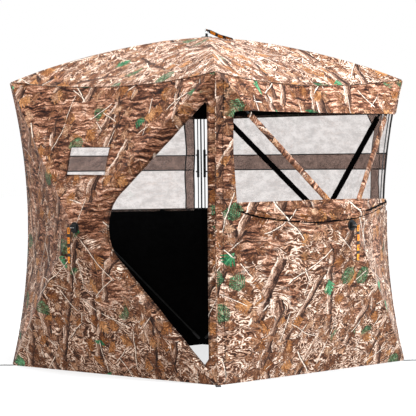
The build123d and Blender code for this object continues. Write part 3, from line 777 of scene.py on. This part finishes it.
def webbing_material(name, dark, light, pattern=None):
    p = Paint(name)
    uv = p.uv()
    ribs = p.math("SINE", p.times(p.part(uv, 0), 2600.0))
    rows = p.math("SINE", p.times(p.part(uv, 1), 1500.0))
    tone = p.mix(p.step(p.noise(uv, 180.0, 3.0), 0.3, 0.7), dark, light)
    if pattern:
        tone = pattern(p, uv, tone)
    normal = p.bump(p.times(ribs, rows), 0.5, 0.0006)
    rough = p.step(p.noise(uv, 90.0, 2.0), 0.3, 0.7, 0.6, 0.8)
    return p.finish(p.surface(colour=tone, rough=rough, normal=normal, specular=0.3))


def strap_pattern(p, uv, tone):
    """Orange blocks and dashes on black webbing."""
    along = p.math("FRACT", p.times(p.part(uv, 1), 1 / 0.047))
    block = p.times(p.step(along, 0.10, 0.13), p.step(along, 0.80, 0.76))
    ragged = p.noise(p.vector("MULTIPLY", uv, (70.0, 90.0, 1.0)), 1.0, 2.0, 0.5)
    across = p.step(p.math("PINGPONG", p.part(uv, 0), 0.0106), 0.0088, 0.0078)
    share = p.times(p.times(block, across), p.step(ragged, 0.38, 0.44))
    orange = p.ramp(p.noise(uv, 60.0, 2.0), (0.3, (0.62, 0.14, 0.008)), (0.7, (0.92, 0.36, 0.015)))
    return p.mix(share, tone, orange)


def solid_material(name, dark, light, scale, rough_low, rough_high, metal=0.0, scratch=0.0, specular=0.5):
    """Hard pieces: slow colour drift, fine grain in roughness and bump."""
    p = Paint(name)
    at = p.place()
    tone = p.mix(p.step(p.noise(at, scale, 4.0), 0.3, 0.7), dark, light)
    grain = p.noise(at, scale * 9, 3.0, 0.6)
    if scratch:
        worn = p.step(p.noise(p.vector("MULTIPLY", at, (1.0, 1.0, 8.0)), scale * 5, 4.0, 0.7), 0.62, 0.72)
        tone = p.mix(p.times(worn, scratch), tone, tuple(min(1.0, c * 2.2 + 0.02) for c in light))
    rough = p.step(grain, 0.3, 0.7, rough_low, rough_high)
    return p.finish(p.surface(colour=tone, rough=rough, metal=metal, normal=p.bump(grain, 0.15, 0.0004),
                              specular=specular))


CAMO = camo_material("camo_cloth", 0.90)
SEAM = camo_material("camo_seam", 0.40)
LINING = lining_material()
NETTING = net_material("window_mesh", 0.165, (0.42, 0.36, 0.335), 0.70)
DOUBLED = band_material()
BLACK_WEB = webbing_material("black_webbing", (0.006, 0.006, 0.006), (0.022, 0.021, 0.021))
STRAP_WEB = webbing_material("strap_webbing", (0.010, 0.008, 0.007), (0.035, 0.024, 0.020), strap_pattern)
PLASTIC = solid_material("black_plastic", (0.004, 0.004, 0.004), (0.011, 0.010, 0.010), 40.0, 0.42, 0.62,
                         specular=0.2)
RODS = solid_material("pole_fibreglass", (0.004, 0.004, 0.004), (0.012, 0.012, 0.011), 30.0, 0.40, 0.62,
                      scratch=0.2, specular=0.15)
STEEL = solid_material("steel", (0.30, 0.29, 0.28), (0.55, 0.54, 0.52), 60.0, 0.22, 0.42,
                       metal=1.0, scratch=0.2)

for name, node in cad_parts.items():
    choice = None
    if name.endswith(("hub_body", "hub_plate")) or name == "webbing_cleats":
        choice = PLASTIC
    elif name.endswith("hub_hardware") or name == "stake_grommets":
        choice = STEEL
    elif "_pole_" in name:
        choice = RODS
    if choice:
        for slot in node.material_slots:
            slot.material = choice


# ---- walls, roof, openings ----
OPENINGS = {
    "window": [ring(WINDOW)],
    "right_back": [box_ring(-0.8, BAND_LOW, 0.8, BAND_TOP)],
    "left_back": [box_ring(-0.8, BAND_LOW, BAND_END, BAND_TOP)],
    "door": [door_ring(), ring(PORT)],
    "roof": [],
}


for name, face in FACES.items():
    node = "roof_panel" if face.roof else f"{name}_wall"
    cloth(node, name, node, [CAMO, LINING], [face.outline()], 0.0, -CLOTH, OPENINGS[name])


def beside(edge, distance):
    """An upright edge moved sideways."""
    return lambda z: edge(z) + distance


NET_ENDS = {
    "right_back": (lambda z: MESH_GAP - fold_a(z), free_edge),
    "left_back": (lambda z: -free_edge(z), lambda z: BAND_END + MESH_LAP),
}
STRIPES = {
    "right_back": (lambda z: -0.595 + 0.12 * (z - BAND_LOW), lambda z: -0.500 + 0.09 * (z - BAND_LOW)),
    "left_back": (lambda z: -free_edge(z), lambda z: STRIPE_W - free_edge(z)),
}
for name, (left, right) in NET_ENDS.items():
    single = upright_ring(left, right, BAND_LOW - MESH_LAP, BAND_TOP + MESH_LAP)
    cloth(f"{name}_mesh", name, f"{name}_mesh", [NETTING], [single],
          -MESH_BEHIND, -MESH_BEHIND - NET, slack=2.0)
    bands = [upright_ring(left, right, STRIPE_LOW, STRIPE_TOP),
             upright_ring(*STRIPES[name], BAND_LOW, BAND_TOP)]
    cloth(f"{name}_mesh_band", name, f"{name}_mesh", [DOUBLED], bands,
          -BAND_BEHIND, -BAND_BEHIND - NET, slack=2.0)
    seams = [upright_ring(left, right, z - SEAM_W / 2, z + SEAM_W / 2) for z in (STRIPE_LOW, STRIPE_TOP)]
    seams += [upright_ring(beside(edge, -SEAM_W / 2), beside(edge, SEAM_W / 2), BAND_LOW, BAND_TOP)
              for edge in STRIPES[name]]
    if name == "right_back":
        seams.append(upright_ring(left, beside(left, 0.018), BAND_LOW, BAND_TOP))
    cloth(f"{name}_mesh_seam", name, f"{name}_mesh", [BLACK_WEB], seams,
          -SEAM_BEHIND, -0.0060, slack=2.0, spacing=0.03)

# ---- window cover: a sheet dropped below the sill, ending in a soft roll ----
cover_low = smooth_line(COVER_LOW, 60)
cover_high = smooth_line(COVER_HIGH, 40)
ROLL = 0.034            # height of the roll at the bottom of the cover


def low_line(u):
    return np.interp(u, *cover_low.T)


def high_line(u):
    return np.interp(u, *cover_high.T)


def cover_share(a, b):
    """0 at the cover's low edge to 1 at the sill."""
    return (b + HUB_Z - low_line(a)) / (high_line(a) - low_line(a))


def sheet_out(a, b):
    v = np.clip(cover_share(a, b), 0, 1)
    folds = 0.0030 * np.sin(31 * a + 5 * v) + 0.0020 * np.sin(71 * a - 9 * v + 1.0)
    swags = 0.0120 * np.abs(np.sin(pi * (2.1 * v + 0.35 * np.sin(4.3 * a + 0.6) + 0.10 * np.sin(13 * a))))
    return 0.003 + (0.0060 + swags) * np.sin(pi * v) ** 0.6 * (1.15 - v) + folds * np.sin(pi * v) ** 0.5


def roll_out(a, b):
    v = np.clip((b + HUB_Z - low_line(a)) / ROLL, 0, 1)
    round_up = np.sqrt(np.clip(1 - (2 * v - 1) ** 2, 0, 1))
    return 0.004 + 0.0095 * round_up + 0.0012 * np.sin(52 * a + 3 * v)


def strip_ring(low, high):
    """Closed outline between two lines of (u, z) points."""
    return ring([tuple(p) for p in low] + [tuple(p) for p in high[::-1]])


def raised(line, up):
    return line + np.array([0.0, up])


def roll_shade_kinds(centres, kinds):
    """Black lining painted at the roll's low edge and in the gap over it, widest at its right end: painted
    shade of the dark gaps under and between the folds.
    """
    a = centres[:, 0]
    v = (centres[:, 1] + HUB_Z - low_line(a)) / ROLL
    gap = 1.0 - 0.24 * np.exp(-((a + 0.33) / 0.045) ** 2) - 0.46 * np.clip((a - 0.10) / 0.12, 0, 1)
    # the black kinds set here are painted shade in the gaps under and between the folds
    return np.where((kinds == 0) & ((v < 0.20) | (v > gap)), 1, kinds)


sheet_region = strip_ring(raised(cover_low, ROLL * 0.9), cover_high)
cloth("window_cover", "window", "window_cover", [CAMO, LINING], [sheet_region],
      sheet_out, lambda a, b: sheet_out(a, b) - CLOTH, spacing=0.012)
roll_region = strip_ring(cover_low, raised(cover_low, ROLL))
cloth("window_cover_roll", "window", "window_cover", [CAMO, LINING], [roll_region],
      roll_out, lambda a, b: roll_out(a, b) - CLOTH, spacing=0.007,
      kind_of=roll_shade_kinds)

# ---- hems, bindings and the door's zip ----
hem = box_ring(-HALF, 0.0, HALF, HEM)
for name in TURNS:
    cloth(f"{name}_hem", name, f"{name}_wall", [CAMO, LINING], [FACES[name].outline()], 0.0014,
          0.0002, spacing=0.03, clip=hem)

ZIP = 0.007             # width of the door's zip tape
zip_inner, zip_outer = door_ring(), door_ring(ZIP)
cloth("door_zip", "door", "door_wall", [SEAM, BLACK_WEB], [zip_outer], 0.0016, -0.0024,
      [zip_inner], spacing=0.012)
port_inner, port_outer = ring(PORT), offset_ring(ring(PORT), 0.005)
cloth("port_binding", "door", "door_wall", [SEAM, BLACK_WEB], [port_outer], 0.0014, -0.0022,
      [port_inner], spacing=0.02)
corner_seam = upright_ring(lambda z: -fold_a(z) + 0.030, lambda z: -fold_a(z) + 0.034, 0.03, 1.43)
cloth("window_corner_seam", "window", "window_wall", [SEAM, LINING], [corner_seam],
      0.0012, 0.0002, spacing=0.03)


# ---- round and flat strips along a line ----
def swept(name, line, section, material, closed=True, caps=True, uv_shift=(0.0, 0.0), up=(0, 0, 1),
          ease=None):
    """Sweeps a section of (side, lift) points along a line of points; ease gives a size for each share."""
    line = np.array([tuple(p) for p in line], float)
    section = np.array(section, float)
    rows, count = len(line), len(section)
    ahead = unit(np.gradient(line, axis=0))
    side = unit(np.cross(ahead, np.array(up, float)))
    lift = np.cross(side, ahead)
    lengths, round_it = run_lengths(line), run_lengths(np.vstack([section, section[:1]]))
    verts, faces, uvs = [], [], []
    for k in range(rows):
        size = ease(k / (rows - 1)) if ease else 1.0
        for s, h in section:
            verts.append(line[k] + size * (side[k] * s + lift[k] * h))
    turns = count if closed else count - 1
    for k in range(rows - 1):
        for j in range(turns):
            i = (j + 1) % count
            faces.append((k * count + j, k * count + i, (k + 1) * count + i, (k + 1) * count + j))
            for kk, jj in ((k, j), (k, j + 1), (k + 1, j + 1), (k + 1, j)):
                uvs.append((round_it[jj] - round_it[-1] / 4 + uv_shift[0], lengths[kk] + uv_shift[1]))
    if closed and caps:
        for row, order in ((0, -1), (rows - 1, 1)):
            loop = [row * count + j for j in range(count)][::order]
            faces.append(tuple(loop))
            uvs += [(section[v % count][0] + uv_shift[0], lengths[row] + section[v % count][1] + uv_shift[1])
                    for v in loop]
    obj = make_object(name, verts, faces, [material], None, uvs)
    obj.data.set_sharp_from_angle(angle=radians(42))
    return obj


def flat_section(width, thick):
    """A flat strip's section with rounded edges."""
    w, t = width / 2, thick / 2
    corner = min(t * 0.8, w * 0.4)
    return [(-w, -t + corner), (-w + corner, -t), (w - corner, -t), (w, -t + corner), (w, t - corner),
            (w - corner, t), (-w + corner, t), (-w, t - corner)]


def oval_section(wide, thick, count=10):
    turns = [2 * pi * k / count for k in range(count)]
    return [(wide / 2 * cos(t), thick / 2 * sin(t)) for t in turns]


def tape(body, node, slot, flat, name, line, section, material, held="stretched", rests_on=(), **shape):
    """A swept piece on a body, in place of a CAD node."""
    obj = swept(name, line, section, material, **shape)
    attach(obj, body)
    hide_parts(node)


# Piping down the four folds, broken where a corner is open, and along the four eaves.
FOLD_RUNS = {"": (0.004, 0.996), "_low": (0.004, BAND_LOW / EAVE), "_high": (BAND_TOP / EAVE, 0.996)}
for name in TURNS:
    face = FACES[name]
    for part in ("_low", "_high") if name in ("window", "right_back") else ("",):
        start, end = FOLD_RUNS[part]
        share = np.linspace(start, end, 60)
        a, b = face.edge("right", share)
        fold = face.place(a + 0.0022, b, 0.0022 - WAIST * 4 * share * (1 - share))
        tape("shell", f"{name}_wall", "camo_cloth", (TAPE_W, round(1.01 * (end - start) * EAVE, 3)),
             f"{name}_fold_piping{part}", fold, oval_section(PIPE_W, PIPE_W), CAMO,
             uv_shift=(UV_SHIFT[name] + 0.8, 0.0), up=(cos(face.turn), sin(face.turn), 0))
    share = np.linspace(0.004, 0.996, 60)
    a, b = face.edge("top", share)
    eave = face.place(a, b, -EAVE_DIP * 4 * share * (1 - share))
    tape("shell", "roof_panel", "camo_cloth", (TAPE_W, 1.44), f"{name}_eave_piping", eave,
         oval_section(EAVE_PIPE_W, EAVE_PIPE_W), SEAM, uv_shift=(UV_SHIFT[name], 0.2))


# ---- poles' sleeves and pockets ----
def pole_line(face, sign_a, sign_b):
    """Pin end and tip end of a pole, in the row frame, its direction, and the direction out of the wall."""
    diagonal = hypot(face.across, face.up)
    along = np.array([sign_a * face.across, sign_b * face.up]) / diagonal
    pin, tip = along * PIN_REACH, along * (diagonal - TIP_REACH_IN)
    pin, tip = (face.place(np.array(p[0]), np.array(p[1]), n)
                for p, n in ((pin, face.height - PIN_DEPTH), (tip, -TIP_DEPTH)))
    return pin, tip, (tip - pin) / np.linalg.norm(tip - pin), face.axes()[2]


CORNER_SIGNS = {"lower_left": (-1, -1), "lower_right": (1, -1), "upper_right": (1, 1), "upper_left": (-1, 1)}
for name in ("window", "right_back", "left_back"):
    for corner in ("upper_left", "upper_right"):
        pin, tip, ahead, out = pole_line(FACES[name], *CORNER_SIGNS[corner])
        line = [pin + ahead * m for m in np.linspace(SLEEVE_START, SLEEVE_END, 56)]
        section = [(SLEEVE_W / 2 * cos(t), SLEEVE_T / 2 * sin(t) * (1 + 0.12 * cos(3 * t)))
                   for t in np.linspace(0, 2 * pi, 21)[:-1]]
        slot, material = ("camo_cloth", CAMO) if name == "window" else ("black_cloth", LINING)
        tape(f"{name}_{corner}_pole", f"{name}_sleeve_{corner}", slot, (0.0400, SLEEVE_END - SLEEVE_START),
             f"{name}_sleeve_{corner}_cloth", line, section, material, rests_on=[f"{name}_pole_{corner}"],
             caps=False, up=out, uv_shift=(UV_SHIFT[name] + 1.3, 0.4),
             ease=lambda k: 0.97 + 0.025 * sin(61 * k) + 0.02 * sin(23 * k + 1))

for name, face in FACES.items():
    for corner, signs in CORNER_SIGNS.items():
        pin, tip, ahead, out = pole_line(face, *signs)
        line = [tip + ahead * m for m in np.linspace(-POCKET_BACK, POCKET_PAST, 12)]
        tape("shell", "pole_pockets", "black_webbing", (0.0537, 0.0595), f"{name}_pocket_{corner}", line,
             oval_section(0.0174, 0.0168, 16), BLACK_WEB, caps=False, up=out,
             ease=lambda k: 1.0 - 0.25 * max(0.0, k - 0.85) / 0.15)

# ---- pull straps ----
STRAP_W, STRAP_T, STRAP_LEN, STRAP_LOOP = 0.020, 0.0026, 0.175, 0.0044


def make_strap(face, runs, turn, sway, twist=0.0):
    """One strap of webbing, doubled through the eye and hanging as two layers sewn together."""
    middle = face.place(np.array(0.0), np.array(0.0), face.height + EYE_TOP)
    right, up, out = face.axes()
    along = right * cos(radians(turn)) + up * sin(radians(turn))
    side = np.cross(out, along)
    points, normals = [], []
    x, y, travelled = 0.0, 0.0, 0.0
    total = sum(length for length, _ in runs)
    for length, angle in runs:
        for k in np.linspace(0.1, 1.0, 14):
            share = (travelled + length * k) / total
            px, py = x + length * k * cos(radians(angle)), y - length * k * sin(radians(angle))
            points.append(middle + along * px + out * (py + sway * sin(share * 5.0)))
            turned = twist * min(1.0, share * 7.0) * (1.0 - 1.4 * max(0.0, share - 0.45))
            normals.append(out * cos(turned) + side * sin(turned))
        x, y = x + length * cos(radians(angle)), y - length * sin(radians(angle))
        travelled += length
    points, normals = np.array(points), np.array(normals)
    eye = np.linspace(radians(52), radians(308), 18)
    loop_out = np.array([along * cos(t) + out * sin(t) for t in eye])
    line = np.vstack([(points + normals * STRAP_T * 0.55)[::-1], middle + STRAP_LOOP * loop_out,
                      points - normals * STRAP_T * 0.55])
    lift = np.vstack([normals[::-1], loop_out, -normals])
    tape(f"{face.name}_strap", f"{face.name}_pull_strap", "strap_webbing",
         (STRAP_W, round(float(run_lengths(line)[-1]), 3)), f"{face.name}_strap_webbing", line,
         flat_section(STRAP_W, STRAP_T * 0.62), STRAP_WEB, "hung", [f"{face.name}_hub_hardware"], up=lift)


for name, face in FACES.items():
    if face.roof:
        make_strap(face, [(0.080, 25.0), (0.075, 13.0)], -70.0, 0.0, radians(62))
    else:
        make_strap(face, [(STRAP_LEN, 0.0)], -90.0, 0.0012)

# ---- corner webbing, stake tabs, door roll ----
heights = np.linspace(BAND_LOW - 0.008, BAND_TOP + 0.008, 24)
for sy, offsets, corner in ((1, (-WEB_SPREAD, 0, WEB_SPREAD), "far"), (-1, (0, WEB_SPREAD), "right")):
    for k, offset in enumerate(offsets):
        bent = fold_a(heights)
        line = np.stack([bent - 0.009 - max(offset, 0), sy * (bent - 0.009 - max(-offset, 0)), heights], -1)
        facing = (1, sy, 0) if offset == 0 else ((0, 1, 0) if offset > 0 else (1, 0, 0))
        tape("shell", "corner_webbing", "black_webbing", (0.010, 0.532), f"{corner}_webbing_{k + 1}", line,
             flat_section(0.0085, 0.0015), BLACK_WEB, up=facing)

corner = HALF * hypot(1, 1)
for corner_name, (sx, sy) in {"near": (-1, -1), "right": (1, -1), "far": (1, 1), "left": (-1, 1)}.items():
    direction = np.array([sx, sy, 0]) / hypot(1, 1)
    marks = np.linspace(corner - 0.002, corner + TAB_REACH, 16)
    line = [direction * m + np.array([0, 0, 0.0011 + 0.0004 * sin(m * 90)]) for m in marks]
    tape("shell", "stake_tabs", "black_webbing", (0.0262, 0.0735), f"stake_tab_{corner_name}", line,
         flat_section(0.026, 0.0018), BLACK_WEB, rests_on=["stake_grommets"])



def roll_middle(z):
    """Middle of the rolled door at height z."""
    return np.array([-(fold_a(z) - ROLL_IN), -(fold_a(z) - ROLL_IN), z])


roll_line = [roll_middle(z) for z in np.linspace(ROLL_LOW, ROLL_HIGH, 60)]
turns = np.linspace(0, 2 * pi * 2.6, 70)
spiral = [((0.012 + 0.015 * t / turns[-1]) * cos(t), (0.012 + 0.015 * t / turns[-1]) * sin(t)) for t in turns]
tape("shell", "door_flap_roll", "black_cloth", (round(float(run_lengths(spiral)[-1]), 3), 1.11), "door_roll",
     roll_line, spiral, LINING, "folded", closed=False, up=(1, 1, 0),
     ease=lambda k: 0.97 + 0.03 * sin(9 * k) * sin(31 * k))
for z in (0.42, 0.78, 1.12):
    tie = [roll_middle(z) + np.array([TIE_R * cos(t), TIE_R * sin(t), 0]) for t in np.linspace(0, 2 * pi, 33)]
    tape("shell", "door_flap_roll", "black_webbing", (0.017, 0.18), f"roll_tie_{int(z * 100)}", tie,
         flat_section(0.0014, 0.016), BLACK_WEB)

# ---- floor, light, camera ----
floor_paint = Paint("pale_floor")
floor_at = floor_paint.place()
floor_cloud = floor_paint.step(floor_paint.noise(floor_at, 0.6, 2.0), 0.3, 0.7)
floor_tone = floor_paint.mix(floor_cloud, (0.93, 0.93, 0.93), (0.96, 0.96, 0.96))
floor_matt = floor_paint.surface(colour=floor_tone, rough=0.95, specular=0.0)
floor_glow = floor_paint.add("Emission", {"Color": (1, 1, 1, 1), "Strength": 1.04})
floor_paint.finish(floor_paint.add("MixShader", {0: 0.72, 1: floor_matt, 2: floor_glow}))
floor = make_object("floor", [(-40, -40, -0.001), (40, -40, -0.001), (40, 40, -0.001), (-40, 40, -0.001)],
                    [(0, 1, 2, 3)], [floor_paint.material])

world = bpy.data.worlds.new("studio")
bpy.context.scene.world = world
world.use_nodes = True
world.node_tree.nodes["Background"].inputs["Color"].default_value = (1, 1, 1, 1)
world.node_tree.nodes["Background"].inputs["Strength"].default_value = 1.0


def area_light(name, location, target, size, power, colour=(1, 1, 1)):
    lamp = bpy.data.lights.new(name, "AREA")
    lamp.shape = "DISK"
    lamp.size = size
    lamp.energy = power
    lamp.color = colour
    obj = bpy.data.objects.new(name, lamp)
    obj.location = location
    obj.rotation_euler = (Vector(target) - Vector(location)).to_track_quat("-Z", "Y").to_euler()
    bpy.context.scene.collection.objects.link(obj)


area_light("top_light", (-0.9, -1.0, 4.6), (-0.1, -0.1, 1.2), 2.4, 310, (0.82, 0.92, 1.0))
area_light("right_light", (1.4, -6.3, 1.5), (0.1, -0.7, 0.7), 2.8, 525, (0.74, 0.89, 1.0))

CAM_TURN, CAM_BACK, CAM_HEIGHT = radians(-47.24), 9.8313, 1.0319
CAM_PITCH, CAM_ROLL, CAM_LENS = radians(1.3376), radians(-0.4633), 164.53
camera = bpy.data.cameras.new("camera")
camera.lens = CAM_LENS
camera.sensor_width = 36.0
camera.clip_end = 200.0
camera_obj = bpy.data.objects.new("camera", camera)
bpy.context.scene.collection.objects.link(camera_obj)
back = Vector((sin(CAM_TURN), -cos(CAM_TURN), 0))
right = Vector((cos(CAM_TURN), sin(CAM_TURN), 0))
look = -back * cos(CAM_PITCH) - Vector((0, 0, 1)) * sin(CAM_PITCH)
upward = right.cross(look)
rolled_right = right * cos(CAM_ROLL) + upward * sin(CAM_ROLL)
rolled_up = upward * cos(CAM_ROLL) - right * sin(CAM_ROLL)
axes = Matrix((rolled_right, rolled_up, -look)).transposed().to_4x4()
axes.translation = back * CAM_BACK + Vector((0, 0, CAM_HEIGHT))
camera_obj.matrix_world = axes
bpy.context.scene.camera = camera_obj
bpy.context.scene.view_settings.view_transform = "Standard"
